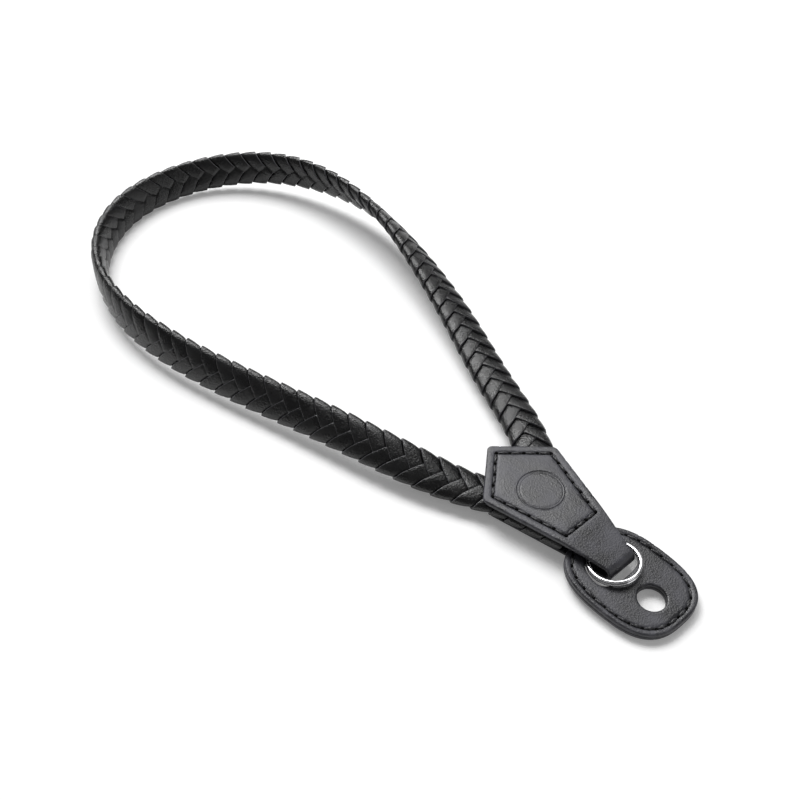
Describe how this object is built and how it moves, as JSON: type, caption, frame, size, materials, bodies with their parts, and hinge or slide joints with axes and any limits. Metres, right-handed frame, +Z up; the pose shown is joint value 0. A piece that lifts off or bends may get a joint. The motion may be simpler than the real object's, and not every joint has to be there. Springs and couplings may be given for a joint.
{
  "type": "camera wrist strap",
  "caption": "Braided leather hand loop for a camera, with a stitched leather end cover, a split ring and a leather flap that shields the camera at its lug.",
  "frame": {"origin": "on the flat underside of the end cover, below the middle of the pentagon, on the surface the strap lies on", "axes": "+X runs along the strap from the hand loop to the flap, +Y across it, +Z up from the surface it lies on"},
  "size_m": [0.249, 0.1018, 0.0169],
  "materials": {
    "lace_leather": "smooth black leather laces with a low sheen, rough on their cut edges",
    "leather": "smooth black leather with a satin grain",
    "thread": "black waxed sewing thread",
    "steel": "polished steel wire"
  },
  "bodies": {
    "strap": {"braided_band": "lace_leather", "end_cover": "leather", "cover_lining": "leather", "cover_thread": "thread", "cover_thread_under": "thread"},
    "flap": {"flap_leather": "leather", "flap_lining": "leather", "flap_thread": "thread", "flap_thread_under": "thread"},
    "ring": {"split_ring": "steel"}
  },
  "joints": [
    {"name": "flap_swing", "type": "hinge", "parent": "strap", "child": "flap", "pos_m": [0.0164, -0.0005, 0.0017], "axis": [0, -1, 0], "range_deg": [0, 5]},
    {"name": "ring_turn", "type": "hinge", "parent": "flap", "child": "ring", "pos_m": [0.0286, -0.0005, 0.00448], "axis": [-0.1416, 0, 0.9899], "continuous": true}
  ]
}
